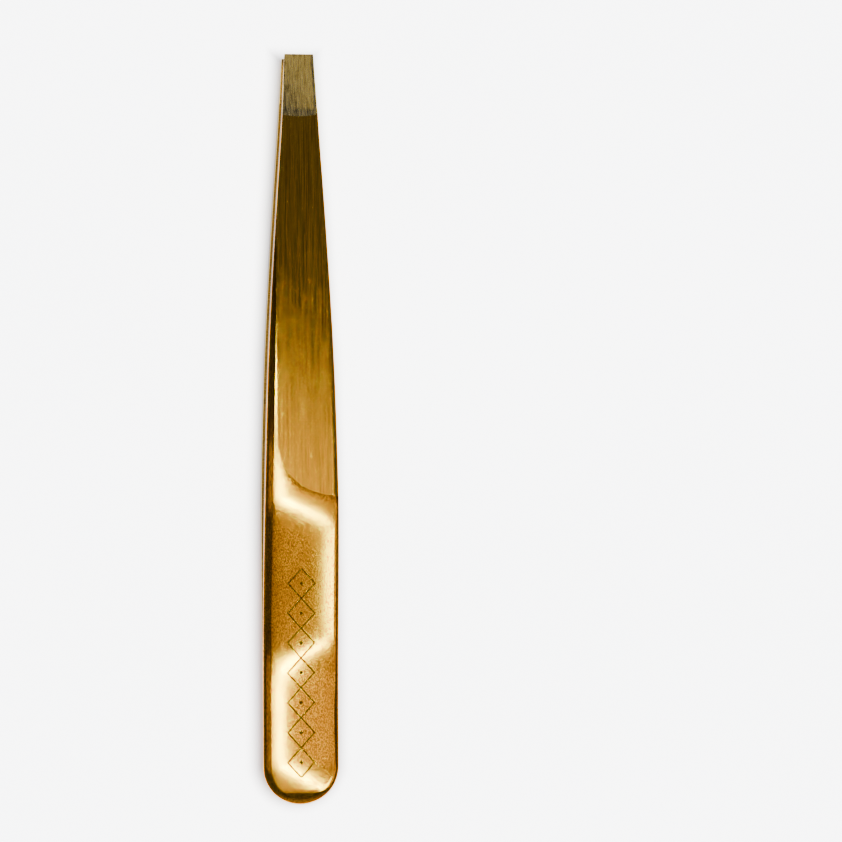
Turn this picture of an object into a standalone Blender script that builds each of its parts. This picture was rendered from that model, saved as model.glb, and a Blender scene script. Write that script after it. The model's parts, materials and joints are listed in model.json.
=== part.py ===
"""Beauty tweezers with square-cut tips: two sprung steel arms, mirror images of each other, welded at the tail.

The tweezers lie on a table. +Y runs from the tail to the tips, +X is across the arms and +Z is up. The mid-plane
between the two arms is level, and the origin is at the bottom centre of the whole object. Sizes are in metres.

An arm is described by its station s, the distance from its tail end along +Y, by x, and by its height above the
mid-plane. The real arm is one piece that bends in its thin spring zone. It is cut there into a tail, which is
welded, and a blade, which turns about the middle of that zone.
"""

import math

import bmesh
import bpy
from mathutils import Matrix, Vector

# Outline of an arm, seen from above: stations and half widths of the tapering sides, and the round tail end.
LENGTH = 0.0950
TAIL_RADIUS = 0.0048
OUTLINE = (
    (0.0200, TAIL_RADIUS),
    (0.0380, 0.00468),
    (0.0570, 0.00413),
    (0.0760, 0.00303),
    (0.0872, 0.00226),
    (LENGTH, 0.00183),
)

# Bow of the inner face: flat lap at the tail, rise through the spring zone, then a slow approach to the tips.
SEAM_HALF = 0.00005
LAP_END = 0.0115
BOW_END = 0.0460
BOW_RISE = 0.00286
CONVERGE = 0.0052
CONVERGE_EASE = 0.0050

# Thickness of the strip: thin where it springs, full stock from the finger grip to the tips.
SPRING_THICKNESS = 0.00090
STOCK_THICKNESS = 0.00188
THICKEN_START = 0.0185
THICKEN_END = 0.0420

# Crown of the outer face, its slow fall over the tail, and the tighter radius that rolls it off at the very end.
CROWN = 0.00013
TAIL_FALL_START = 0.0085
TAIL_FALL_RADIUS = 0.085
ROLL_OFF_LENGTH = 0.0014
ROLL_OFF_RADIUS = 0.0040

# Flat ground along the outer face of the blade. Its roll leaves a strip of the crown on the -X side, and it runs
# out in a slanting line where the bow of the finger grip falls away below it.
FLAT_ROLL = 0.055
FLAT_DEPTH = 0.000225
FLAT_CUTTER_START = 0.0330

# Tip: the gripping pad closes flat on its twin, and the outer bevel thins the arm to an edge.
PAD_LENGTH = 0.0053
PAD_STEP = 0.00045
TIP_THICKNESS = 0.00018
BEVEL_LENGTH = 0.00805
BEVEL_DROP = 0.00012
BEVEL_SHOULDER = 0.00135
BEVEL_DISH = 0.00008
BEVEL_ROLL = 0.045

# Elastic hinge in the spring zone, and the slit that frees the blade from the tail there.
FLEX_STATION = 0.0210
CLOSING_ANGLE = math.radians(1.86)
SLIT = 0.00020

# Weld nuggets: lenses of fused steel across the seam, with a hair of room in their pockets.
NUGGET_STATIONS = {"weld_nugget_rear": 0.0029, "weld_nugget_front": 0.0063}
NUGGET_RADIUS = 0.00125
NUGGET_HALF_HEIGHT = 0.00042
NUGGET_ROOM = 0.00005

# How finely the shapes are divided, and how far the cutting blocks reach past what they cut.
SIDE_STEP = 0.0012
STATION_STEP = 0.0016
FINE_STEP = 0.0006
TAIL_ARC_STEPS = 28
REACH = 0.0010
CUT_TOP = 0.0090


def eased(u):
    """Smooth step from 0 to 1 as u goes from 0 to 1."""
    u = min(1.0, max(0.0, u))
    return u * u * (3.0 - 2.0 * u)


def half_width(s):
    """Half width of the arm at a station in front of the round tail end, a smooth curve through OUTLINE."""
    count = len(OUTLINE)
    slopes = [0.0]
    for i in range(1, count - 1):
        (s0, w0), (s1, w1), (s2, w2) = OUTLINE[i - 1 : i + 2]
        before, after = (w1 - w0) / (s1 - s0), (w2 - w1) / (s2 - s1)
        slopes.append((before * (s2 - s1) + after * (s1 - s0)) / (s2 - s0))
    slopes.append((OUTLINE[-1][1] - OUTLINE[-2][1]) / (OUTLINE[-1][0] - OUTLINE[-2][0]))
    if s <= OUTLINE[0][0]:
        return OUTLINE[0][1]
    i = next(j for j in range(count - 1) if s <= OUTLINE[j + 1][0] or j == count - 2)
    (s0, w0), (s1, w1) = OUTLINE[i : i + 2]
    span = s1 - s0
    u = (s - s0) / span
    return (
        w0 * (1 + 2 * u) * (1 - u) ** 2
        + slopes[i] * span * u * (1 - u) ** 2
        + w1 * u * u * (3 - 2 * u)
        + slopes[i + 1] * span * u * u * (u - 1)
    )


def inner_height(s):
    """Height of the plain inner face above the mid-plane."""
    past = s - BOW_END
    if past <= -CONVERGE_EASE:
        run = 0.0
    elif past >= CONVERGE_EASE:
        run = past
    else:
        run = (past + CONVERGE_EASE) ** 2 / (4.0 * CONVERGE_EASE)
    return SEAM_HALF + BOW_RISE * eased((s - LAP_END) / (BOW_END - LAP_END)) - CONVERGE * run


def ridge_height(s):
    """Height of the outer face along its middle line, before the flat and the bevel are ground."""
    thicken = eased((s - THICKEN_START) / (THICKEN_END - THICKEN_START))
    thickness = SPRING_THICKNESS + (STOCK_THICKNESS - SPRING_THICKNESS) * thicken
    return inner_height(s) + thickness


def roll_off(s):
    """How far the outer face has turned down towards the tail end."""
    fall = max(0.0, TAIL_FALL_START - s) ** 2 / (2.0 * TAIL_FALL_RADIUS)
    left = max(0.0, ROLL_OFF_LENGTH - max(0.0, s))
    return fall + ROLL_OFF_RADIUS - math.sqrt(ROLL_OFF_RADIUS**2 - left**2)


def outer_height(x, s):
    """Height of the crowned outer face."""
    return ridge_height(s) - CROWN * (x / TAIL_RADIUS) ** 2 - roll_off(s)


def flat_height(x, s):
    """Height of the flat ground along the blade: a plane along the straight stretch between the grip and the tips."""
    straight = SEAM_HALF + BOW_RISE + STOCK_THICKNESS - CONVERGE * (s - BOW_END)
    return straight - FLAT_DEPTH - FLAT_ROLL * x


def flex_height():
    """Height of the elastic hinge: the middle of the strip's thickness."""
    return (inner_height(FLEX_STATION) + ridge_height(FLEX_STATION)) / 2


def pad_height(s):
    """Height of the gripping pad, which turns by CLOSING_ANGLE onto the mid-plane."""
    rise = flex_height() * (1.0 - 1.0 / math.cos(CLOSING_ANGLE))
    return (s - FLEX_STATION) * math.tan(CLOSING_ANGLE) + rise


def tip_height(s):
    """Height of the arm's underside: its inner face, and the pad that stands below it at the tip."""
    pad_start = LENGTH - PAD_LENGTH
    wall = (s - (pad_start - PAD_STEP)) / PAD_STEP
    step = min(1.0, max(0.0, wall))
    return inner_height(s) * (1.0 - step) + pad_height(max(s, pad_start)) * step


def bevel_height(x, s):
    """Height of the outer bevel at the tip: hollow across, rolled like the flat, with a shoulder where it ends."""
    start = LENGTH - BEVEL_LENGTH
    top = flat_height(0.0, start) - BEVEL_DROP
    tip = pad_height(LENGTH) + TIP_THICKNESS
    slope = (top - tip) / BEVEL_LENGTH
    into_shoulder = max(0.0, start + BEVEL_SHOULDER - s) / BEVEL_SHOULDER
    across = BEVEL_DISH * (x / half_width(start)) ** 2 - BEVEL_ROLL * x
    fade = eased((LENGTH - s) / BEVEL_LENGTH)
    return tip + slope * (LENGTH - s) + BEVEL_DROP * into_shoulder**2 + across * fade


def steps(low, high, step):
    """Evenly spaced values from low to high, no further apart than step."""
    count = max(1, math.ceil((high - low) / step - 1e-6))
    return [low + (high - low) * i / count for i in range(count + 1)]


def arm_stations(low, high):
    """Stations along the arm from low to high, with one at each line where its section changes suddenly."""
    pad_start = LENGTH - PAD_LENGTH
    marks = [low, LAP_END, pad_start - PAD_STEP, pad_start, high]
    if low < ROLL_OFF_LENGTH:
        marks.append(ROLL_OFF_LENGTH)
    marks = sorted(m for m in set(marks) if low <= m <= high)
    stations = [low]
    for first, second in zip(marks, marks[1:]):
        stations += steps(first, second, FINE_STEP if second <= ROLL_OFF_LENGTH else STATION_STEP)[1:]
    return stations


def link(obj, group):
    """Puts an object in the named collection. Cutters are drawn as wire and left out of renders."""
    collection = bpy.data.collections.get(group)
    if collection is None:
        collection = bpy.data.collections.new(group)
        bpy.context.scene.collection.children.link(collection)
    collection.objects.link(obj)
    if group == CUTTERS:
        obj.hide_render = True
        obj.display_type = "WIRE"
    return obj


def block(name, group, xs, stations, floor, roof):
    """A closed block over a grid of x values and stations, between two surfaces floor(x, s) and roof(x, s)."""
    mesh = bpy.data.meshes.new(name)
    bm = bmesh.new()
    bmesh.ops.create_grid(bm, x_segments=len(xs) - 1, y_segments=len(stations) - 1, size=1.0)
    for vert in bm.verts:
        column = round((vert.co.x + 1.0) / 2.0 * (len(xs) - 1))
        row = round((vert.co.y + 1.0) / 2.0 * (len(stations) - 1))
        x, s = xs[column], stations[row]
        vert.co = (x, s, floor(x, s))
    made = bmesh.ops.extrude_face_region(bm, geom=bm.faces[:])
    for vert in made["geom"]:
        if isinstance(vert, bmesh.types.BMVert):
            vert.co.z = roof(vert.co.x, vert.co.y)
    bmesh.ops.recalc_face_normals(bm, faces=bm.faces[:])
    bm.to_mesh(mesh)
    bm.free()
    return link(bpy.data.objects.new(name, mesh), group)


def outline_cutter():
    """The arm's outline as a prism: tapering sides, square tip and a round tail end."""
    points = [(half_width(s), s) for s in steps(TAIL_RADIUS, LENGTH, STATION_STEP)]
    arc = [math.pi * i / TAIL_ARC_STEPS for i in range(1, TAIL_ARC_STEPS)]
    tail = [(-TAIL_RADIUS * math.cos(a), TAIL_RADIUS - TAIL_RADIUS * math.sin(a)) for a in arc]
    points = [*points, *[(-x, s) for x, s in reversed(points)], *tail]
    curve = bpy.data.curves.new("outline", "CURVE")
    curve.dimensions = "2D"
    curve.fill_mode = "BOTH"
    curve.extrude = CUT_TOP
    spline = curve.splines.new("POLY")
    spline.points.add(len(points) - 1)
    for point, (x, s) in zip(spline.points, points):
        point.co = (x, s, 0.0, 1.0)
    spline.use_cyclic_u = True
    drawn = bpy.data.objects.new("outline_curve", curve)
    bpy.context.scene.collection.objects.link(drawn)
    graph = bpy.context.evaluated_depsgraph_get()
    mesh = bpy.data.meshes.new_from_object(drawn.evaluated_get(graph))
    bpy.data.objects.remove(drawn)
    bm = bmesh.new()
    bm.from_mesh(mesh)
    bmesh.ops.remove_doubles(bm, verts=bm.verts[:], dist=1e-6)
    bmesh.ops.recalc_face_normals(bm, faces=bm.faces[:])
    bm.to_mesh(mesh)
    bm.free()
    return link(bpy.data.objects.new("outline_cutter", mesh), CUTTERS)


def nugget(name, group, station, room):
    """A lens of fused steel across the seam, or with room added, the pocket that it lies in."""
    mesh = bpy.data.meshes.new(name)
    bm = bmesh.new()
    bmesh.ops.create_uvsphere(bm, u_segments=24, v_segments=12, radius=1.0)
    size = (NUGGET_RADIUS + room, NUGGET_RADIUS + room, NUGGET_HALF_HEIGHT + room)
    bmesh.ops.scale(bm, verts=bm.verts[:], vec=size)
    bmesh.ops.translate(bm, verts=bm.verts[:], vec=(0.0, station, 0.0))
    bm.to_mesh(mesh)
    bm.free()
    return link(bpy.data.objects.new(name, mesh), group)


def boolean(obj, operation, cutter):
    """Adds a Boolean modifier that cuts obj with cutter."""
    modifier = obj.modifiers.new(cutter.name, "BOOLEAN")
    modifier.operation = operation
    modifier.object = cutter
    modifier.solver = "EXACT"


def make_cutters():
    """The tools that shape an arm, each one a grinding or blanking step."""
    wide = steps(-TAIL_RADIUS - REACH, TAIL_RADIUS + REACH, SIDE_STEP)
    ends = [wide[0], wide[-1]]
    flat_run = steps(FLAT_CUTTER_START, LENGTH + REACH, STATION_STEP)
    bevel_run = steps(LENGTH - BEVEL_LENGTH - REACH, LENGTH + REACH, FINE_STEP)
    flat = block("flat_cutter", CUTTERS, ends, flat_run, flat_height, lambda x, s: CUT_TOP)
    bevel = block("bevel_cutter", CUTTERS, wide, bevel_run, bevel_height, lambda x, s: CUT_TOP)
    pockets = [
        nugget(name + "_pocket", CUTTERS, station, NUGGET_ROOM) for name, station in NUGGET_STATIONS.items()
    ]
    return [("INTERSECT", outline_cutter()), ("DIFFERENCE", flat), ("DIFFERENCE", bevel)], pockets


def arm_piece(name, low, high, tools):
    """The stretch of the upper arm from station low to station high."""
    xs = steps(-TAIL_RADIUS - REACH / 2, TAIL_RADIUS + REACH / 2, SIDE_STEP)
    stretch = arm_stations(low, high)
    piece = block(name, PARTS, xs, stretch, lambda x, s: tip_height(s), outer_height)
    for operation, cutter in tools:
        boolean(piece, operation, cutter)
    return piece


def finished(piece):
    """Turns a piece's modifiers into its mesh, and shades it smooth up to its ground edges."""
    bpy.context.view_layer.update()
    graph = bpy.context.evaluated_depsgraph_get()
    mesh = bpy.data.meshes.new_from_object(piece.evaluated_get(graph))
    mesh.name = piece.name
    piece.modifiers.clear()
    piece.data = mesh
    mesh.shade_smooth()
    mesh.set_sharp_from_angle(angle=math.radians(2.5))
    return piece


def mirrored(piece, name):
    """The same piece on the other side of the mid-plane."""
    mesh = piece.data.copy()
    mesh.name = name
    mesh.transform(Matrix.Scale(-1.0, 4, Vector((0.0, 0.0, 1.0))))
    mesh.flip_normals()
    return link(bpy.data.objects.new(name, mesh), PARTS)


def coated_steel(name, colour, roughness):
    """Steel with a hard gold-coloured coating."""
    material = bpy.data.materials.new(name)
    material.use_nodes = True
    shader = material.node_tree.nodes["Principled BSDF"]
    shader.inputs["Base Color"].default_value = (*colour, 1.0)
    shader.inputs["Metallic"].default_value = 1.0
    shader.inputs["Roughness"].default_value = roughness
    material.diffuse_color = (*colour, 1.0)
    return material


def place(obj, origin, level):
    """Moves a piece built in arm coordinates into the object's own frame, with its origin at the given point."""
    obj.data.transform(Matrix.Translation((-origin[0], -origin[1], -origin[2])))
    obj.location = (origin[0], origin[1] - LENGTH / 2, origin[2] + level)


PARTS = "slant_tweezers"
CUTTERS = "cutters"


def main():
    for obj in list(bpy.data.objects):
        bpy.data.objects.remove(obj)

    shaping, pockets = make_cutters()
    tail_tools = [shaping[0], *[("DIFFERENCE", pocket) for pocket in pockets]]
    upper_tail = finished(arm_piece("upper_arm_tail", 0.0, FLEX_STATION - SLIT / 2, tail_tools))
    upper_blade = finished(arm_piece("upper_arm_blade", FLEX_STATION + SLIT / 2, LENGTH, shaping))
    lower_tail = mirrored(upper_tail, "lower_arm_tail")
    lower_blade = mirrored(upper_blade, "lower_arm_blade")
    nuggets = [nugget(name, PARTS, station, 0.0) for name, station in NUGGET_STATIONS.items()]
    level = max(vert.co.z for vert in upper_blade.data.vertices)

    finishes = {
        upper_blade: ((0.78, 0.53, 0.17), 0.28),
        lower_blade: ((0.78, 0.53, 0.17), 0.28),
        upper_tail: ((0.76, 0.49, 0.15), 0.34),
        lower_tail: ((0.76, 0.49, 0.15), 0.34),
        **{piece: ((0.45, 0.44, 0.42), 0.5) for piece in nuggets},
    }
    for piece, (colour, roughness) in finishes.items():
        piece.data.materials.clear()
        piece.data.materials.append(coated_steel(piece.name + "_finish", colour, roughness))

    for blade, side in ((upper_blade, 1.0), (lower_blade, -1.0)):
        place(blade, (0.0, FLEX_STATION, side * flex_height()), level)
    for piece in (upper_tail, lower_tail, *nuggets):
        place(piece, (0.0, 0.0, 0.0), level)
    for _, cutter in shaping:
        place(cutter, (0.0, 0.0, 0.0), level)
    for cutter in pockets:
        place(cutter, (0.0, 0.0, 0.0), level)


main()
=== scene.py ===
"""Gold-coated beauty tweezers with square-cut tips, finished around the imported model.

The tweezers lie on a pale table. +Y runs from the tail to the tips, +X is across the arms and +Z is up. An arm is
described by its station s, the distance from its tail end along +Y, by x, and by its height above the mid-plane
between the arms. Sizes are in metres.
"""

import json
import math

import bmesh
import bpy
import numpy as np
from bpy.props import FloatProperty, FloatVectorProperty, PointerProperty
from mathutils import Matrix, Vector


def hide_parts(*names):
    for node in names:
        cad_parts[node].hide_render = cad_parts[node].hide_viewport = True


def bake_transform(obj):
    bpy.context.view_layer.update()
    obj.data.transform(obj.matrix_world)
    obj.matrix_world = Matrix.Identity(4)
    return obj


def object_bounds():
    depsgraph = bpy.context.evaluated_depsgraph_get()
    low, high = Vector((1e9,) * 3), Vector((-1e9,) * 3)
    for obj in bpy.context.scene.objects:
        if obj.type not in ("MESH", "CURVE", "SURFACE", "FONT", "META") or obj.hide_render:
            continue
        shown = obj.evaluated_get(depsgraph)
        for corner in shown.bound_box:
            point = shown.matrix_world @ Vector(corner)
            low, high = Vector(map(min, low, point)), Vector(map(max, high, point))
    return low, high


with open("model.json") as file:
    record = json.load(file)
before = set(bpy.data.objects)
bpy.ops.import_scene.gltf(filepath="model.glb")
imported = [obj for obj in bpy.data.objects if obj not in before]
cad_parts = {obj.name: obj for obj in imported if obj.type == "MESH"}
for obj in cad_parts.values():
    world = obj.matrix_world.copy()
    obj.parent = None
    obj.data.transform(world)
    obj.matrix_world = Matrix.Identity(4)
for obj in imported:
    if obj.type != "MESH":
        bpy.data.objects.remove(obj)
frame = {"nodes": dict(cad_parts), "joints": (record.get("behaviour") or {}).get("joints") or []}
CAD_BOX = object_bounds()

bl_info = {
    "name": "Gold-coated beauty tweezers",
    "version": (1, 0, 0),
    "blender": (4, 5, 0),
    "location": "View3D > Sidebar > Tweezers",
    "description": "Builds the finished arms, the weld and the studio of a pair of gold-coated tweezers",
    "category": "Object",
}

LENGTH = CAD_BOX[1].y - CAD_BOX[0].y
TAIL_Y = CAD_BOX[0].y
LEVEL = (CAD_BOX[0].z + CAD_BOX[1].z) / 2
HINGES = {joint["child"]: joint["pos_m"] for joint in frame["joints"]}
FLEX_STATION = HINGES["upper_arm"][1] - TAIL_Y
FLEX_HEIGHT = HINGES["upper_arm"][2] - LEVEL

# Outline of an arm from above: the round tail end, then stations and half widths of the tapering sides.
TAIL_RADIUS = 0.0048
OUTLINE = (
    (0.0200, TAIL_RADIUS),
    (0.0380, 0.00468),
    (0.0570, 0.00413),
    (0.0760, 0.00303),
    (0.0872, 0.00226),
    (0.0950, 0.00183),
)
TIP_CORNER = 0.00012

# Inner face: lap at the tail, bow through the spring zone, slow approach to the tips.
SEAM_HALF = 0.00005
LAP_END = 0.0115
BOW_END = 0.0460
BOW_RISE = 0.00286
CONVERGE = 0.0052
CONVERGE_EASE = 0.0050

# Thickness of the strip.
SPRING_THICKNESS = 0.00090
STOCK_THICKNESS = 0.00188
THICKEN_START = 0.0185
THICKEN_END = 0.0420

# Outer face: crown, fall towards the tail end, and the flat ground along the blade.
CROWN = 0.00013
TAIL_FALL_START = 0.0085
TAIL_FALL_RADIUS = 0.085
ROLL_OFF_LENGTH = 0.0019
ROLL_OFF_RADIUS = 0.0060
FLAT_ROLL = 0.055
FLAT_DEPTH = 0.000225
CREASE_START = 0.0370

# Tip: gripping pad with its 45 degree wall, and the outer bevel.
PAD_LENGTH = 0.0053
PAD_STEP = 0.00045
CLOSING_ANGLE = math.radians(1.86)
TIP_THICKNESS = 0.00018
TIP_BLUNTING = 0.00007
BEVEL_LENGTH = 0.00805
BEVEL_DROP = 0.00012
BEVEL_SHOULDER = 0.00135
BEVEL_DISH = 0.00008
BEVEL_ROLL = 0.045
BEVEL_REACH = 0.0015

# Rounding of the outer edges, as (station, how far it reaches in, how far it drops), and of the inner edges.
LEFT_ROUNDING = (
    (0.000, 0.00100, 0.00030),
    (0.050, 0.00100, 0.00030),
    (0.057, 0.00088, 0.00026),
    (0.064, 0.00066, 0.00020),
    (0.073, 0.00027, 0.00014),
    (0.080, 0.00014, 0.00010),
    (0.095, 0.00014, 0.00006),
)
RIGHT_ROUNDING = (
    (0.000, 0.00100, 0.00030),
    (0.034, 0.00090, 0.00028),
    (0.042, 0.00055, 0.00024),
    (0.060, 0.00040, 0.00018),
    (0.075, 0.00028, 0.00014),
    (0.086, 0.00028, 0.00014),
    (0.088, 0.00050, 0.00020),
    (0.095, 0.00040, 0.00006),
)
INNER_ROUNDING = 0.00008

# Most of the arm's thickness that the rounding takes from the outer face and from the inner face.
MOST_DROP = 0.42
MOST_RISE = 0.20

TABLE_SIZE = (6.0, 6.0)

# Painted shadow of the tweezers on the table's glow: how far it begins under them and ends beside them, and the least
# light in it.
TABLE_SHADE_UNDER = 0.0004
TABLE_SHADE_REACH = 0.0022
TABLE_SHADE_LEAST = 0.04

# How far from the middle the light from below the table begins to fade and is weakest, and its share there.
TABLE_LIT_REACH = (0.10, 0.35)
TABLE_LIT_LEAST = 0.15

# Name of the points' own number that says how many millimetres the flat lies below the crown; it places the crown's
# painted crease shade.
GROUND_OFF = "ground_off"

# Chain of lozenges marked along the upper handle.
CHAIN_START = 0.0035
CHAIN_PITCH = 0.0038
CHAIN_COUNT = 7.0
CHAIN_HALF_WIDTH = 0.0017

# How many faces go round a section, and which run between the rows of each stretch.
CROWN_COLUMNS = 22
FLAT_COLUMNS = 44
INNER_COLUMNS = 30
ROUNDING_COLUMNS = 9
INNER_ROUNDING_COLUMNS = 3
WALL_COLUMNS = 4
TAIL_ROWS = 46
TIP_ROWS = 7

# Lamps over the table: name, size, centre, turn, share of its strength setting, and fading at each edge.
LAMPS = (
    ("panel_blade", (0.70, 0.264), (0.264, -0.220), -0.583, 1.45, (0.10, 0.20, 0.03, 0.06)),
    ("panel_handle", (0.36, 0.160), (0.130, -0.270), 0.0, 0.9, (0.20, 0.25, 0.06, 0.10)),
    ("panel_left", (0.42, 0.250), (-0.250, -0.105), 0.0, 0.5, (0.50, 0.10, 0.10, 0.15)),
    ("panel_tips", (0.24, 0.160), (0.020, 0.450), 0.0, 1.2, (0.20, 0.40, 0.10, 0.10)),
    ("strip_left", (0.017, 0.140), (0.001, -0.034), 0.0, 1.1, (0.40, 0.40, 0.04, 0.06)),
    ("strip_tail", (0.027, 0.080), (0.005, -0.142), 0.0, 1.0, (0.40, 0.40, 0.06, 0.06)),
    ("strip_middle", (0.150, 0.024), (0.067, -0.222), -0.580, 1.0, (0.06, 0.06, 0.40, 0.40)),
    ("strip_right", (0.200, 0.110), (0.212, -0.313), 0.0, 0.20, (0.10, 0.40, 0.20, 0.15)),
)

# The room's light at the horizon and higher up, and the sine of the elevation where the change is over.
ROOM_LOW = (0.85, 0.82, 0.76, 1.0)
ROOM_HIGH = (0.10, 0.13, 0.42, 1.0)
ROOM_CHANGE = 0.75

# Long lens looking straight down from a little to the left.
CAMERA_LENS = 119.15
CAMERA_PLACE = (-0.0276, 0.0009, 0.358)
CAMERA_TARGET = (0.01515, 0.0011, 0.0085)
CAMERA_ROLL = math.radians(-0.3)

# Finishes in the order of an arm's material slots. The first three match the order of the heights in cuts().
ZONES = ("crown_satin", "flat_brushed", "bevel_ground", "edge_polished", "inside_ground", "pad_ground")


def eased(u):
    """Smooth step from 0 to 1 as u goes from 0 to 1."""
    u = np.clip(u, 0.0, 1.0)
    return u * u * (3.0 - 2.0 * u)


def half_width(s):
    """Half width of an arm in front of its round tail end, a smooth curve through OUTLINE."""
    stations, widths = (np.array(column) for column in zip(*OUTLINE))
    span, chord = np.diff(stations), np.diff(widths) / np.diff(stations)
    inside = (chord[:-1] * span[1:] + chord[1:] * span[:-1]) / (span[1:] + span[:-1])
    slopes = np.array([0.0, *inside, chord[-1]])
    i = np.clip(np.searchsorted(stations, s) - 1, 0, len(span) - 1)
    u = (s - stations[i]) / span[i]
    curve = (
        widths[i] * (1 + 2 * u) * (1 - u) ** 2
        + slopes[i] * span[i] * u * (1 - u) ** 2
        + widths[i + 1] * u * u * (3 - 2 * u)
        + slopes[i + 1] * span[i] * u * u * (u - 1)
    )
    return np.where(s <= stations[0], widths[0], curve)


def inner_height(s):
    """Height of the plain inner face above the mid-plane."""
    past = s - BOW_END
    bend = np.clip(past + CONVERGE_EASE, 0.0, 2 * CONVERGE_EASE) ** 2 / (4.0 * CONVERGE_EASE)
    run = bend + np.maximum(0.0, past - CONVERGE_EASE)
    return SEAM_HALF + BOW_RISE * eased((s - LAP_END) / (BOW_END - LAP_END)) - CONVERGE * run


def ridge_height(s):
    """Height of the outer face along its middle line, before grinding."""
    thicken = eased((s - THICKEN_START) / (THICKEN_END - THICKEN_START))
    return inner_height(s) + SPRING_THICKNESS + (STOCK_THICKNESS - SPRING_THICKNESS) * thicken


def crown_height(x, s):
    """Height of the crowned outer face, which falls and rolls off at the tail end."""
    fall = np.maximum(0.0, TAIL_FALL_START - s) ** 2 / (2.0 * TAIL_FALL_RADIUS)
    left = np.maximum(0.0, ROLL_OFF_LENGTH - np.maximum(0.0, s))
    turn = ROLL_OFF_RADIUS - np.sqrt(ROLL_OFF_RADIUS**2 - left**2)
    return ridge_height(s) - CROWN * (x / TAIL_RADIUS) ** 2 - fall - turn


def flat_height(x, s):
    """Height of the plane ground along the blade."""
    return SEAM_HALF + BOW_RISE + STOCK_THICKNESS - CONVERGE * (s - BOW_END) - FLAT_DEPTH - FLAT_ROLL * x


def pad_height(s):
    """Height of the gripping pad, which turns by CLOSING_ANGLE onto the mid-plane."""
    return (s - FLEX_STATION) * math.tan(CLOSING_ANGLE) + FLEX_HEIGHT * (1.0 - 1.0 / math.cos(CLOSING_ANGLE))


def under_height(s):
    """Height of the arm's underside: the inner face, and the pad that stands below it at the tip."""
    pad_start = LENGTH - PAD_LENGTH
    step = np.clip((s - (pad_start - PAD_STEP)) / PAD_STEP, 0.0, 1.0)
    return inner_height(s) * (1.0 - step) + pad_height(np.maximum(s, pad_start)) * step


def bevel_height(x, s):
    """Height of the outer bevel at the tip, hollow across and with a shoulder where it ends."""
    start = LENGTH - BEVEL_LENGTH
    top = flat_height(0.0, start) - BEVEL_DROP
    tip = pad_height(LENGTH) + TIP_THICKNESS
    slope = (top - tip) / BEVEL_LENGTH
    into_shoulder = np.maximum(0.0, start + BEVEL_SHOULDER - s) / BEVEL_SHOULDER
    across = BEVEL_DISH * (x / half_width(start)) ** 2 - BEVEL_ROLL * x
    return tip + slope * (LENGTH - s) + BEVEL_DROP * into_shoulder**2 + across * eased((LENGTH - s) / BEVEL_LENGTH)


def cuts(x, s):
    """Heights of the crown, the flat and the bevel. The finished outer face is the lowest of them."""
    near = s > LENGTH - BEVEL_LENGTH - BEVEL_REACH
    bevel = np.where(near, bevel_height(x, s), 1.0)
    return np.stack(np.broadcast_arrays(crown_height(x, s), flat_height(x, s), bevel))


def outer_height(x, s):
    """Height of the finished outer face."""
    return cuts(x, s).min(axis=0)


def crease_x(s):
    """Where the flat meets the crown at each station, or past the right edge where the flat has run out."""
    curve = CROWN / TAIL_RADIUS**2
    root = FLAT_ROLL**2 + 4.0 * curve * (ridge_height(s) - flat_height(0.0, s))
    return np.where(root > 0.0, (FLAT_ROLL - np.sqrt(np.maximum(root, 0.0))) / (2.0 * curve), TAIL_RADIUS)


def bevel_line(x):
    """Station where the bevel cuts the flat at x."""
    low = np.full_like(x, LENGTH - BEVEL_LENGTH - BEVEL_REACH)
    high = np.full_like(x, LENGTH - BEVEL_LENGTH + BEVEL_REACH)
    for _ in range(26):
        middle = (low + high) / 2
        above = bevel_height(x, middle) > np.minimum(flat_height(x, middle), crown_height(x, middle))
        low, high = np.where(above, middle, low), np.where(above, high, middle)
    return low


def along_bevel(x, y):
    """Stations moved near the bevel so that one row of points follows the bevel's edge."""
    start = LENGTH - BEVEL_LENGTH
    share = np.maximum(0.0, 1.0 - np.abs(y - start) / 0.0020)
    return y + (bevel_line(x) - start) * share


def rows_of_arm():
    """Stations of the rows from the tail end to the tip, closer together where the shape changes quickly."""
    pad_start, start = LENGTH - PAD_LENGTH, LENGTH - BEVEL_LENGTH
    runs = (
        (TAIL_RADIUS, 0.0340, 0.00045),
        (0.0340, 0.0480, 0.00020),
        (0.0480, LENGTH - 0.0100, 0.00060),
        (LENGTH - 0.0100, start, 0.00010),
        (start, start + BEVEL_SHOULDER, 0.00009),
        (start + BEVEL_SHOULDER, pad_start - PAD_STEP - 0.00006, 0.00015),
        (pad_start - PAD_STEP - 0.00006, pad_start - PAD_STEP, 0.00006),
        (pad_start - PAD_STEP, pad_start, 0.00009),
        (pad_start, LENGTH - TIP_BLUNTING, 0.00015),
    )
    rows = [TAIL_RADIUS * (1.0 - np.cos(np.linspace(0.0, math.pi / 2, TAIL_ROWS)))]
    for low, high, step in runs:
        rows.append(np.linspace(low, high, max(2, round((high - low) / step) + 1))[1:])
    rows.append(LENGTH - TIP_BLUNTING * (1.0 - np.sin(np.linspace(0.0, math.pi / 2, TIP_ROWS)[1:])))
    return np.concatenate(rows)


def plan_edge(s):
    """Half width at each row, and the outward direction (x, y) of the right side there."""
    in_tail = s < TAIL_RADIUS
    round_width = np.sqrt(np.maximum(0.0, TAIL_RADIUS**2 - (TAIL_RADIUS - s) ** 2))
    slope = (half_width(s + 1e-5) - half_width(s - 1e-5)) / 2e-5
    size = np.hypot(1.0, slope)
    corner = np.clip((s - (LENGTH - TIP_CORNER)) / TIP_CORNER, 0.0, 1.0)
    width = np.where(in_tail, round_width, half_width(s)) - TIP_CORNER * (1.0 - np.sqrt(1.0 - corner**2))
    across = np.where(in_tail, round_width / TAIL_RADIUS, 1.0 / size)
    along = np.where(in_tail, (s - TAIL_RADIUS) / TAIL_RADIUS, -slope / size)
    return width, across, along


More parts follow.
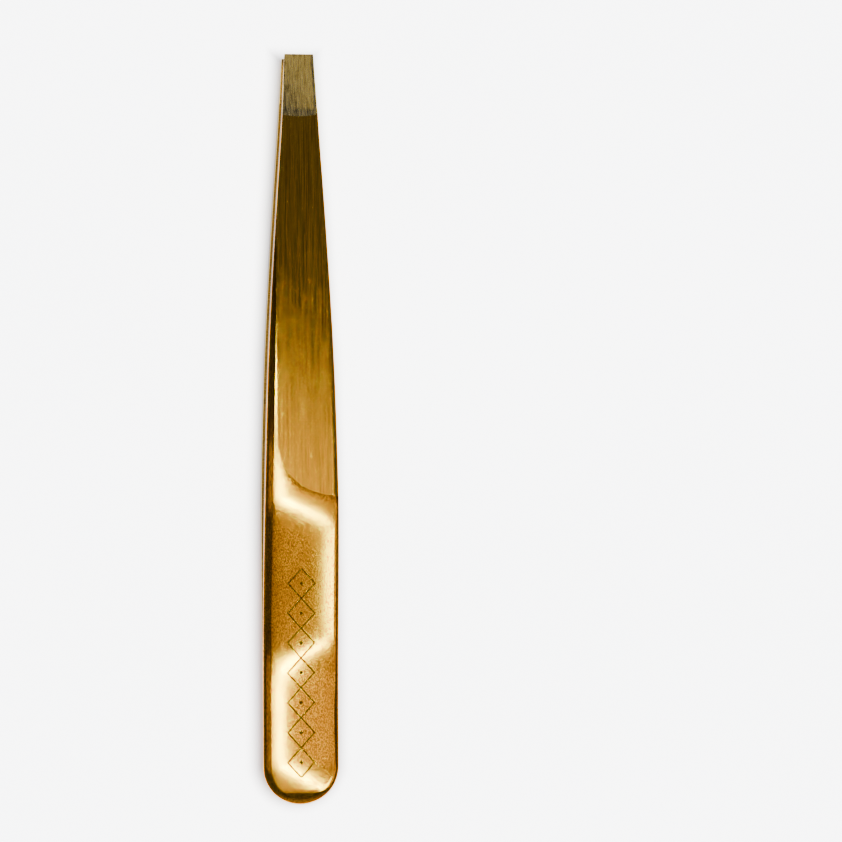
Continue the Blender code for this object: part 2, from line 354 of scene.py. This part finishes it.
def arm_grid():
    """Points of one arm as (x, station, height), one row per station and one column per place round the section."""
    s = rows_of_arm()
    width, across, along = (value[:, None] for value in plan_edge(s))
    blunt = np.clip((s - (LENGTH - TIP_BLUNTING)) / TIP_BLUNTING, 0.0, 1.0)
    end_drop = (TIP_BLUNTING * (1.0 - np.sqrt(1.0 - blunt**2)))[:, None]

    def plan(side, inset):
        return side * (width - inset * across), s[:, None] - inset * along

    def thickness(x, y):
        return outer_height(x, y) - under_height(y) - 2.0 * end_drop

    def outer_edge(side, table):
        stations, reach, drop = zip(*table)
        reach, drop = (np.interp(s, stations, value)[:, None] for value in (reach, drop))
        drop = np.minimum(drop, MOST_DROP * thickness(*plan(side, reach)))
        turn = np.linspace(math.pi / 2, 0.0, ROUNDING_COLUMNS + 1)
        x, y = plan(side, reach * (1.0 - np.sin(turn)))
        ends = x[:, -1:], y[:, -1:]
        y = along_bevel(x, y)
        return np.stack([x, y, outer_height(x, y) - drop * (1.0 - np.cos(turn)) - end_drop], axis=-1), ends

    def inner_edge(side):
        turn = np.linspace(math.pi / 2, 0.0, INNER_ROUNDING_COLUMNS + 1)
        x, y = plan(side, INNER_ROUNDING * (1.0 - np.sin(turn)))
        rise = np.minimum(INNER_ROUNDING, MOST_RISE * thickness(x, y)) * (1.0 - np.cos(turn))
        return np.stack([x, y, under_height(y) + rise + end_drop], axis=-1)

    def between(first, last, columns):
        """Columns strictly between two columns of points."""
        share = np.linspace(0.0, 1.0, columns + 1)[1:-1, None]
        return first[:, None] + (last - first)[:, None] * share

    left, (x_left, y_left) = outer_edge(-1.0, LEFT_ROUNDING)
    right, (x_right, y_right) = outer_edge(1.0, RIGHT_ROUNDING)
    margin = 0.02 * (x_right - x_left)
    middle = x_left + (x_right - x_left) * CROWN_COLUMNS / (CROWN_COLUMNS + FLAT_COLUMNS)
    crease = np.clip(crease_x(np.maximum(s, CREASE_START))[:, None], x_left + margin, x_right - margin)
    crease = middle + (crease - middle) * eased((s[:, None] - CREASE_START + 0.010) / 0.010)
    crown_share = np.linspace(0.0, 1.0, CROWN_COLUMNS + 1)[1:]
    flat_share = np.linspace(0.0, 1.0, FLAT_COLUMNS + 1)[1:-1]
    x = np.concatenate([x_left + (crease - x_left) * crown_share, crease + (x_right - crease) * flat_share], axis=1)
    share = (x - x_left) / np.maximum(x_right - x_left, 1e-9)
    y = along_bevel(x, y_left + (y_right - y_left) * share)
    face = np.stack([x, y, outer_height(x, y) - end_drop], axis=-1)
    under_left, under_right = inner_edge(-1.0), inner_edge(1.0)
    parts = (
        left,
        face,
        right[:, ::-1],
        between(right[:, 0], under_right[:, 0], WALL_COLUMNS),
        under_right,
        between(under_right[:, -1], under_left[:, -1], INNER_COLUMNS),
        under_left[:, ::-1],
        between(under_left[:, 0], left[:, 0], WALL_COLUMNS),
    )
    return np.concatenate(parts, axis=1)


def zones_of(middle):
    """Which finish each face of the arm grid has, from its middle point and its place round the section."""
    top = 2 * ROUNDING_COLUMNS + CROWN_COLUMNS + FLAT_COLUMNS
    wall_end = top + WALL_COLUMNS
    inside_end = wall_end + 2 * INNER_ROUNDING_COLUMNS + INNER_COLUMNS
    zones = np.argmin(cuts(middle[..., 0], middle[..., 1]), axis=0)
    zones[:, top:] = ZONES.index("edge_polished")
    on_pad = middle[:, wall_end:inside_end, 1] > LENGTH - PAD_LENGTH
    zones[:, wall_end:inside_end] = np.where(on_pad, ZONES.index("pad_ground"), ZONES.index("inside_ground"))
    return zones


def arm_mesh(name, side):
    """One whole arm as a closed mesh. side is 1 for the upper arm and -1 for the lower arm, its mirror image."""
    grid = arm_grid()
    rows, columns = grid.shape[:2]
    middle = (grid[:-1] + grid[1:]) / 2
    middle = (middle + np.roll(middle, -1, axis=1)) / 2
    zones = zones_of(middle)
    grid[..., 2] = np.minimum(grid[..., 2], LEVEL - CAD_BOX[0].z)
    points = grid.reshape(-1, 3) * (1.0, 1.0, side) + (0.0, TAIL_Y, LEVEL)
    index = np.arange(rows * columns).reshape(rows, columns)
    after = np.roll(index, -1, axis=1)
    quads = np.stack([index[:-1], after[:-1], after[1:], index[1:]], axis=-1).reshape(-1, 4)
    faces = [*(quads if side < 0 else quads[:, ::-1]).tolist(), index[-1].tolist()]
    mesh = bpy.data.meshes.new(name)
    mesh.from_pydata(points.tolist(), [], faces)
    bm = bmesh.new()
    bm.from_mesh(mesh)
    kinds = [*zones.reshape(-1).tolist(), ZONES.index("bevel_ground")]
    for face, kind in zip(bm.faces, kinds):
        face.material_index = kind
        face.smooth = True
    bmesh.ops.remove_doubles(bm, verts=bm.verts[:], dist=2e-7)
    bmesh.ops.recalc_face_normals(bm, faces=bm.faces[:])
    for edge in bm.edges:
        if len(edge.link_faces) == 2:
            a, b = edge.link_faces
            if a.material_index != b.material_index and a.normal.angle(b.normal, 0.0) > math.radians(0.5):
                edge.smooth = False
    bm.to_mesh(mesh)
    bm.free()
    places = np.empty(3 * len(mesh.vertices))
    mesh.vertices.foreach_get("co", places)
    x, s = places[0::3], places[1::3] - TAIL_Y
    ground_off = mesh.attributes.new(GROUND_OFF, "FLOAT", "POINT")
    ground_off.data.foreach_set("value", 1000.0 * (crown_height(x, s) - flat_height(x, s)))
    return mesh


class Finish:
    """A material's node tree, built one node at a time. Textures lie on the piece itself, measured in millimetres."""

    def __init__(self, name, metallic=1.0):
        self.material = bpy.data.materials.new(name)
        self.material.use_nodes = True
        self.tree = self.material.node_tree
        self.tree.nodes.clear()
        self.shader = self.node("ShaderNodeBsdfPrincipled")
        self.shader.inputs["Metallic"].default_value = metallic
        output = self.node("ShaderNodeOutputMaterial")
        self.tree.links.new(self.shader.outputs["BSDF"], output.inputs["Surface"])
        self.place = self.node("ShaderNodeTexCoord").outputs["Object"]

    def node(self, kind, **settings):
        """A new node with some of its settings."""
        made = self.tree.nodes.new(kind)
        for key, value in settings.items():
            setattr(made, key, value)
        return made

    def feed(self, socket, value):
        """Links a socket to another node's result, or sets it to a plain value."""
        if isinstance(value, bpy.types.NodeSocket):
            self.tree.links.new(value, socket)
        else:
            socket.default_value = value

    def noise(self, cell_mm, turn=0.0, detail=2.0, distortion=0.0, roughness=0.5):
        """Noise whose cells have this size along x, y and z, turned about Z."""
        mapping = self.node("ShaderNodeMapping", vector_type="TEXTURE")
        mapping.inputs["Rotation"].default_value = (0.0, 0.0, turn)
        mapping.inputs["Scale"].default_value = [0.001 * size for size in cell_mm]
        self.feed(mapping.inputs["Vector"], self.place)
        made = self.node("ShaderNodeTexNoise")
        for key, value in (("Scale", 1.0), ("Detail", detail), ("Distortion", distortion), ("Roughness", roughness)):
            made.inputs[key].default_value = value
        self.feed(made.inputs["Vector"], mapping.outputs["Vector"])
        return made.outputs["Fac"]

    def maths(self, operation, *values):
        """The result of one arithmetic step."""
        made = self.node("ShaderNodeMath", operation=operation)
        for socket, value in zip(made.inputs, values):
            self.feed(socket, value)
        return made.outputs[0]

    def spread(self, value, low, high, to_low=0.0, to_high=1.0):
        """value mapped smoothly from low..high to to_low..to_high."""
        made = self.node("ShaderNodeMapRange", interpolation_type="SMOOTHSTEP")
        for socket, number in zip(made.inputs, (value, low, high, to_low, to_high)):
            self.feed(socket, number)
        return made.outputs["Result"]

    def axis(self, letter):
        """The place along x, y or z, in metres."""
        made = self.node("ShaderNodeSeparateXYZ")
        self.feed(made.inputs[0], self.place)
        return made.outputs[letter]

    def mix(self, share, first, second):
        """A colour between first and second."""
        made = self.node("ShaderNodeMix", data_type="RGBA")
        for socket, value in zip((made.inputs[0], made.inputs[6], made.inputs[7]), (share, first, second)):
            self.feed(socket, value)
        return made.outputs[2]

    def relief(self, height, depth_mm, below=None):
        """A normal for a surface whose height runs over depth_mm."""
        made = self.node("ShaderNodeBump")
        made.inputs["Strength"].default_value = 1.0
        made.inputs["Distance"].default_value = 0.001 * depth_mm
        self.feed(made.inputs["Height"], height)
        if below is not None:
            self.feed(made.inputs["Normal"], below)
        return made.outputs["Normal"]

    def brushed_across(self, amount, wobble, across="X"):
        """Spreads reflections sideways to the brushing. wobble is a noise that turns them a little."""
        direction = self.node("ShaderNodeCombineXYZ")
        other = "Y" if across == "X" else "X"
        direction.inputs[across].default_value = 1.0
        self.feed(direction.inputs[other], self.spread(wobble, 0.0, 1.0, -0.08, 0.08))
        self.feed(self.shader.inputs["Tangent"], direction.outputs["Vector"])
        self.shader.inputs["Anisotropic"].default_value = amount

    def finish(self, colour, roughness, normal=None):
        """Connects the colour, the roughness and the normal, and gives the finished material."""
        self.feed(self.shader.inputs["Base Color"], colour)
        self.feed(self.shader.inputs["Roughness"], roughness)
        if normal is not None:
            self.feed(self.shader.inputs["Normal"], normal)
        return self.material


def toned(colour, factor, tint=(1.0, 1.0, 1.0)):
    """A colour times a factor and a tint, with alpha."""
    return (*(min(1.0, c * factor * t) for c, t in zip(colour, tint)), 1.0)


def lozenge_chain(f):
    """Marks a chain of thin lozenges with a dot in each along the upper handle: 1 on the marks and 0 elsewhere."""
    place = f.maths("DIVIDE", f.maths("SUBTRACT", f.axis("Y"), TAIL_Y + CHAIN_START), CHAIN_PITCH)
    along = f.maths("MULTIPLY", f.maths("ABSOLUTE", f.maths("SUBTRACT", f.maths("FRACT", place), 0.5)), 2.0)
    across = f.maths("DIVIDE", f.maths("ABSOLUTE", f.axis("X")), CHAIN_HALF_WIDTH)
    reach = f.maths("ADD", along, across)
    line = f.spread(f.maths("ABSOLUTE", f.maths("SUBTRACT", reach, 1.0)), 0.060, 0.095, 1.0, 0.0)
    dot = f.spread(reach, 0.14, 0.19, 1.0, 0.0)
    started, going_on = f.maths("GREATER_THAN", place, 0.0), f.maths("LESS_THAN", place, CHAIN_COUNT)
    within = f.maths("MULTIPLY", started, going_on)
    upper = f.maths("GREATER_THAN", f.axis("Z"), LEVEL)
    return f.maths("MULTIPLY", f.maths("MULTIPLY", within, upper), f.maths("MAXIMUM", line, dot))


def crown_satin(gold):
    """Blasted satin coating of the handle: fine mottling over slow clouds, drawn lines along the edges, and painted
    shade in a dark mottled band along the crease with the flat.
    """
    f = Finish("crown_satin")
    grains = f.noise((0.11, 0.24, 0.2), detail=3.0, roughness=0.7)
    clouds = f.noise((1.2, 3.0, 2.0), detail=3.0)
    lines = f.noise((0.05, 5.0, 0.3), detail=3.0)
    low, high = toned(gold, 0.32, (1.0, 0.7, 1.0)), toned(gold, 1.12, (1.0, 1.1, 1.0))
    colour = f.mix(f.spread(grains, 0.38, 0.60), low, high)
    colour = f.mix(f.spread(clouds, 0.35, 0.7, 0.0, 0.35), colour, toned(gold, 0.6, (1.0, 0.85, 1.0)))
    edge = f.spread(f.maths("ABSOLUTE", f.axis("X")), 0.0026, 0.0046)
    drawn = f.maths("MULTIPLY", edge, f.spread(lines, 0.42, 0.60, 0.0, 0.8))
    colour = f.mix(drawn, colour, toned(gold, 0.35, (1.0, 0.75, 1.0)))
    depth = f.node("ShaderNodeAttribute", attribute_name=GROUND_OFF).outputs["Fac"]
    # Painted shade: a dark mottled band on the crown where it runs close under the flat, along their crease.
    crease_shade = f.maths("MULTIPLY", f.spread(depth, -0.120, -0.010), f.spread(grains, 0.36, 0.66, 1.0, 0.45))
    colour = f.mix(crease_shade, colour, toned(gold, 0.12, (1.0, 0.75, 1.0)))
    marks = lozenge_chain(f)
    colour = f.mix(marks, colour, toned(gold, 0.12, (1.0, 0.9, 1.0)))
    roughness = f.maths("MULTIPLY_ADD", marks, 0.35, f.spread(grains, 0.3, 0.7, 0.12, 0.06))
    height = f.maths("MULTIPLY_ADD", f.maths("MULTIPLY", lines, edge), 0.35, grains)
    return f.finish(colour, roughness, f.relief(height, 0.0006))


def flat_brushed(gold):
    """Lengthwise brushed coating of the ground flat."""
    f = Finish("flat_brushed")
    hair = f.noise((0.17, 9.0, 0.3), detail=5.0, roughness=0.8)
    bands = f.noise((0.5, 30.0, 1.0), detail=2.0)
    low, high = toned(gold, 0.58, (1.0, 1.02, 2.0)), toned(gold, 1.13, (1.0, 1.12, 2.0))
    colour = f.mix(f.spread(hair, 0.34, 0.66), low, high)
    colour = f.mix(f.spread(bands, 0.35, 0.65, 0.0, 0.3), colour, toned(gold, 0.75, (1.0, 1.2, 2.0)))
    f.brushed_across(0.8, hair)
    height = f.maths("MULTIPLY_ADD", bands, 0.5, hair)
    return f.finish(colour, f.spread(hair, 0.3, 0.7, 0.10, 0.16), f.relief(height, 0.0008))


def bevel_ground(ground):
    """Coarser lengthwise grinding of the outer tip bevel, drifting a little across."""
    f = Finish("bevel_ground")
    streaks = f.noise((0.14, 3.5, 0.4), turn=0.03, detail=5.0, distortion=0.4, roughness=0.75)
    scratches = f.noise((0.04, 2.2, 0.4), turn=-0.05, detail=3.0, distortion=0.2)
    low, high = toned(ground, 0.40, (1.0, 0.95, 0.85)), toned(ground, 1.2)
    colour = f.mix(f.spread(streaks, 0.38, 0.62), low, high)
    f.brushed_across(0.6, scratches)
    height = f.maths("MULTIPLY_ADD", scratches, 0.5, streaks)
    return f.finish(colour, f.spread(streaks, 0.35, 0.65, 0.20, 0.30), f.relief(height, 0.0016))


def edge_polished(ground):
    """Drawn side edges with fine lines along them, dull where they are seen at a glancing angle."""
    f = Finish("edge_polished")
    f.shader.inputs["Specular Tint"].default_value = (0.12, 0.10, 0.08, 1.0)
    lines = f.noise((0.3, 7.0, 0.05), detail=3.0)
    clouds = f.noise((1.0, 2.5, 1.0), detail=2.0)
    colour = f.mix(f.spread(lines, 0.35, 0.65), toned(ground, 0.50), toned(ground, 0.75))
    return f.finish(colour, f.spread(clouds, 0.3, 0.7, 0.14, 0.24), f.relief(lines, 0.0012))


def inside_ground(ground):
    """Inner face, ground across, with small pits and painted shade in patches that darken it towards its +x edge."""
    f = Finish("inside_ground")
    lines = f.noise((7.0, 0.05, 0.4), detail=4.0, roughness=0.6)
    pits = f.noise((0.28, 0.28, 0.3), detail=1.0)
    patch_noise = f.noise((1.4, 5.0, 1.0), detail=3.0)
    colour = f.mix(f.spread(lines, 0.35, 0.65), toned(ground, 0.42, (1.0, 0.95, 0.9)), toned(ground, 0.66))
    # Painted shade: darker patches that grow towards the +x edge of the inner face.
    side_shade = f.maths("MULTIPLY", f.spread(f.axis("X"), 0.0, 0.004), f.spread(patch_noise, 0.4, 0.6, 0.0, 0.7))
    colour = f.mix(side_shade, colour, toned(ground, 0.30, (1.0, 0.85, 0.7)))
    f.brushed_across(0.6, patch_noise, across="Y")
    pitted = f.maths("MULTIPLY_ADD", f.spread(pits, 0.22, 0.3), 1.5, lines)
    return f.finish(colour, f.spread(lines, 0.3, 0.7, 0.28, 0.42), f.relief(pitted, 0.003))


def pad_ground(ground):
    """Gripping pad, ground diagonally."""
    f = Finish("pad_ground")
    lines = f.noise((0.04, 4.0, 0.4), turn=0.75, detail=4.0, roughness=0.6)
    clouds = f.noise((1.0, 1.0, 1.0), detail=2.0)
    colour = f.mix(f.spread(lines, 0.35, 0.65), toned(ground, 0.50), toned(ground, 0.85))
    return f.finish(colour, f.spread(clouds, 0.3, 0.7, 0.26, 0.4), f.relief(lines, 0.003))


def weld_steel(steel):
    """Bare fused steel with a fine frozen ripple and a heat tint."""
    f = Finish("weld_steel")
    ripple = f.noise((0.12, 0.12, 0.12), detail=3.0)
    tint = f.noise((0.8, 0.8, 0.4), detail=2.0)
    colour = f.mix(f.spread(tint, 0.35, 0.65), (*steel, 1.0), toned(steel, 0.6, (1.0, 0.85, 0.6)))
    return f.finish(colour, f.spread(ripple, 0.3, 0.7, 0.32, 0.5), f.relief(ripple, 0.01))


def table_top(colour, glow):
    """Matt pale sheet, lit through from below like a light table, with a painted shadow that dims its glow close to
    the tweezers.
    """
    f = Finish("table_top", metallic=0.0)
    clouds = f.noise((60.0, 60.0, 60.0), detail=3.0)
    shade = f.mix(f.spread(clouds, 0.3, 0.7), (*colour, 1.0), toned(colour, 0.97))
    behind = f.maths("MINIMUM", f.maths("SUBTRACT", f.axis("Y"), TAIL_Y + TAIL_RADIUS), 0.0)
    squares = f.maths("ADD", f.maths("POWER", f.axis("X"), 2.0), f.maths("POWER", behind, 2.0))
    past_side = f.maths("SQRT", squares)
    for (station, width), (next_station, next_width) in zip(OUTLINE, OUTLINE[1:]):
        share = f.node("ShaderNodeMapRange", interpolation_type="LINEAR")
        numbers = (f.axis("Y"), TAIL_Y + station, TAIL_Y + next_station, 0.0, width - next_width)
        for socket, number in zip(share.inputs, numbers):
            f.feed(socket, number)
        past_side = f.maths("ADD", past_side, share.outputs["Result"])
    past_side = f.maths("SUBTRACT", past_side, TAIL_RADIUS)
    past_end = f.maths("SUBTRACT", f.axis("Y"), TAIL_Y + LENGTH)
    past_outline = f.maths("MAXIMUM", past_side, past_end)
    # Painted shadow: the table's glow is dimmed under and just beside the outline of the tweezers.
    clear = f.spread(past_outline, -TABLE_SHADE_UNDER, TABLE_SHADE_REACH, TABLE_SHADE_LEAST, 1.0)
    away = f.node("ShaderNodeVectorMath", operation="LENGTH")
    f.feed(away.inputs[0], f.place)
    lit = f.spread(away.outputs["Value"], *TABLE_LIT_REACH, glow, TABLE_LIT_LEAST * glow)
    f.feed(f.shader.inputs["Emission Color"], shade)
    f.feed(f.shader.inputs["Emission Strength"], f.maths("MULTIPLY", clear, lit))
    return f.finish(shade, 0.8)


def light_cloth(name, colour, strength, size, fade):
    """Diffuser cloth of a lamp, which fades over these shares of its size at its -x, +x, -y and +y edges."""
    f = Finish(name, metallic=0.0)
    weave = f.noise((8.0, 8.0, 8.0), detail=1.0)
    level = f.spread(weave, 0.3, 0.7, 0.97 * strength, strength)
    for letter, extent, edges in (("X", size[0], fade[:2]), ("Y", size[1], fade[2:])):
        place = f.axis(letter)
        low, high = -extent / 2, extent / 2
        level = f.maths("MULTIPLY", level, f.spread(place, low, low + max(1e-5, edges[0] * extent)))
        level = f.maths("MULTIPLY", level, f.spread(place, high - max(1e-5, edges[1] * extent), high, 1.0, 0.0))
    f.shader.inputs["Emission Color"].default_value = (*colour, 1.0)
    f.feed(f.shader.inputs["Emission Strength"], level)
    return f.finish((0.0, 0.0, 0.0, 1.0), 1.0)


def add_object(name, mesh, materials):
    """Puts a mesh into the scene with its materials."""
    made = bpy.data.objects.new(name, mesh)
    bpy.context.scene.collection.objects.link(made)
    for material in materials:
        made.data.materials.append(material)
    return made


def add_sheet(name, size, centre, material, turn=0.0):
    """A level sheet of this size, turned about its own middle."""
    x, y = size[0] / 2, size[1] / 2
    mesh = bpy.data.meshes.new(name)
    mesh.from_pydata([(-x, -y, 0.0), (x, -y, 0.0), (x, y, 0.0), (-x, y, 0.0)], [], [(0, 1, 2, 3)])
    made = add_object(name, mesh, [material])
    made.matrix_world = Matrix.Translation(centre) @ Matrix.Rotation(turn, 4, "Z")
    return made


class TweezersSettings(bpy.types.PropertyGroup):
    """Colours of the metal and the table, and the strength of the lamps."""

    gold: FloatVectorProperty(
        name="Coating colour",
        description="Colour of the gold hard coating",
        subtype="COLOR",
        default=(0.88, 0.33, 0.006),
        min=0.0,
        max=1.0,
    )
    ground: FloatVectorProperty(
        name="Ground coating colour",
        description="Colour of the coating where the steel below is coarsely ground",
        subtype="COLOR",
        default=(0.82, 0.56, 0.11),
        min=0.0,
        max=1.0,
    )
    steel: FloatVectorProperty(
        name="Steel colour",
        description="Colour of the bare steel in the weld",
        subtype="COLOR",
        default=(0.45, 0.44, 0.42),
        min=0.0,
        max=1.0,
    )
    table: FloatVectorProperty(
        name="Table colour",
        description="Colour of the table under the tweezers",
        subtype="COLOR",
        default=(0.92, 0.92, 0.92),
        min=0.0,
        max=1.0,
    )
    table_glow: FloatProperty(
        name="Table glow", description="Strength of the light that comes through the table", default=8.0, min=0.0
    )
    panel_colour: FloatVectorProperty(
        name="Panel colour",
        description="Colour of the light of the large soft panels",
        subtype="COLOR",
        default=(1.0, 0.98, 1.0),
        min=0.0,
        max=1.0,
    )
    panel_strength: FloatProperty(
        name="Panel strength", description="Strength of the large soft panel overhead", default=1.0, min=0.0
    )
    strip_colour: FloatVectorProperty(
        name="Strip colour",
        description="Colour of the light of the narrow daylight strips",
        subtype="COLOR",
        default=(0.60, 1.0, 0.95),
        min=0.0,
        max=1.0,
    )
    strip_strength: FloatProperty(
        name="Strip strength", description="Strength of the narrow strip lamps overhead", default=200.0, min=0.0
    )
    lamp_height: FloatProperty(
        name="Lamp height", description="Height of the lamps over the table", subtype="DISTANCE", default=0.7, min=0.5
    )


class TWEEZERS_OT_add_arms(bpy.types.Operator):
    """Build the two arms, each one strip from the tail to the tip that bends in its spring zone"""

    bl_idname = "tweezers.add_arms"
    bl_label = "Add arms"
    bl_options = {"REGISTER", "UNDO"}

    def execute(self, context):
        gold, ground = tuple(context.scene.tweezers.gold), tuple(context.scene.tweezers.ground)
        finishes = [crown_satin(gold), flat_brushed(gold), bevel_ground(ground), edge_polished(ground)]
        finishes += [inside_ground(ground), pad_ground(ground)]
        for name, side in (("upper_arm", 1), ("lower_arm", -1)):
            arm = add_object(name, arm_mesh(name, side), finishes)
            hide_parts(f"{name}_tail", f"{name}_blade")
            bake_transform(arm)
        return {"FINISHED"}


class TWEEZERS_OT_finish_weld(bpy.types.Operator):
    """Finish the fused steel between the tails"""

    bl_idname = "tweezers.finish_weld"
    bl_label = "Finish weld"
    bl_options = {"REGISTER", "UNDO"}

    def execute(self, context):
        steel = weld_steel(tuple(context.scene.tweezers.steel))
        for name in ("weld_nugget_front", "weld_nugget_rear"):
            nugget = frame["nodes"][name]
            nugget.data.materials.clear()
            nugget.data.materials.append(steel)
        return {"FINISHED"}


class TWEEZERS_OT_add_stage(bpy.types.Operator):
    """Build the table, the lamps, the room and the camera"""

    bl_idname = "tweezers.add_stage"
    bl_label = "Add stage"
    bl_options = {"REGISTER", "UNDO"}

    def execute(self, context):
        settings = context.scene.tweezers
        top = table_top(tuple(settings.table), settings.table_glow)
        floor = add_sheet("table", TABLE_SIZE, (0.0, 0.0, 0.0), top)
        lamps = []
        for name, size, centre, turn, share, fade in LAMPS:
            kind = name.split("_")[0]
            colour = tuple(getattr(settings, f"{kind}_colour"))
            strength = share * getattr(settings, f"{kind}_strength")
            cloth = light_cloth(name, colour, strength, size, fade)
            lamps.append(add_sheet(name, size, (*centre, settings.lamp_height), cloth, turn))
            lamps[-1].visible_camera = False
        add_room(context.scene)
        add_camera(context.scene)
        return {"FINISHED"}


def add_room(scene):
    """A dim room, paler towards the horizon."""
    world = bpy.data.worlds.new("room")
    world.use_nodes = True
    tree = world.node_tree
    tree.nodes.clear()
    output = tree.nodes.new("ShaderNodeOutputWorld")
    background = tree.nodes.new("ShaderNodeBackground")
    direction = tree.nodes.new("ShaderNodeTexCoord")
    split = tree.nodes.new("ShaderNodeSeparateXYZ")
    ramp = tree.nodes.new("ShaderNodeValToRGB")
    ramp.color_ramp.elements[0].color = ROOM_LOW
    ramp.color_ramp.elements[1].color = ROOM_HIGH
    ramp.color_ramp.elements[1].position = ROOM_CHANGE
    tree.links.new(direction.outputs["Generated"], split.inputs[0])
    tree.links.new(split.outputs["Z"], ramp.inputs["Fac"])
    tree.links.new(ramp.outputs["Color"], background.inputs["Color"])
    tree.links.new(background.outputs["Background"], output.inputs["Surface"])
    scene.world = world


def add_camera(scene):
    """A long lens looking straight down, from a little to the left, with the tips at the top of the picture."""
    data = bpy.data.cameras.new("camera")
    data.sensor_width = 36.0
    data.lens = CAMERA_LENS
    data.clip_start = 0.01
    camera = bpy.data.objects.new("camera", data)
    scene.collection.objects.link(camera)
    place, target = Vector(CAMERA_PLACE), Vector(CAMERA_TARGET)
    back = (place - target).normalized()
    up = Matrix.Rotation(CAMERA_ROLL, 4, "Z") @ Vector((0.0, 1.0, 0.0))
    right = up.cross(back).normalized()
    turn = Matrix((right, back.cross(right), back)).transposed().to_4x4()
    camera.matrix_world = Matrix.Translation(place) @ turn
    scene.camera = camera


class TWEEZERS_PT_build(bpy.types.Panel):
    """Lists the steps that build the finished tweezers"""

    bl_idname = "TWEEZERS_PT_build"
    bl_label = "Tweezers"
    bl_space_type = "VIEW_3D"
    bl_region_type = "UI"
    bl_category = "Tweezers"

    def draw(self, context):
        settings = context.scene.tweezers
        for key in TweezersSettings.__annotations__:
            self.layout.prop(settings, key)
        for step in STEPS:
            self.layout.operator(step.bl_idname)


STEPS = (TWEEZERS_OT_add_arms, TWEEZERS_OT_finish_weld, TWEEZERS_OT_add_stage)


def register():
    """Adds the settings, the steps and the panel to Blender."""
    for cls in (TweezersSettings, *STEPS, TWEEZERS_PT_build):
        bpy.utils.register_class(cls)
    bpy.types.Scene.tweezers = PointerProperty(type=TweezersSettings)


def unregister():
    """Takes the settings, the steps and the panel out of Blender."""
    del bpy.types.Scene.tweezers
    for cls in (TWEEZERS_PT_build, *reversed(STEPS), TweezersSettings):
        bpy.utils.unregister_class(cls)


def main():
    """Builds everything."""
    register()
    bpy.ops.tweezers.add_arms()
    bpy.ops.tweezers.finish_weld()
    bpy.ops.tweezers.add_stage()


if __name__ == "__main__":
    main()
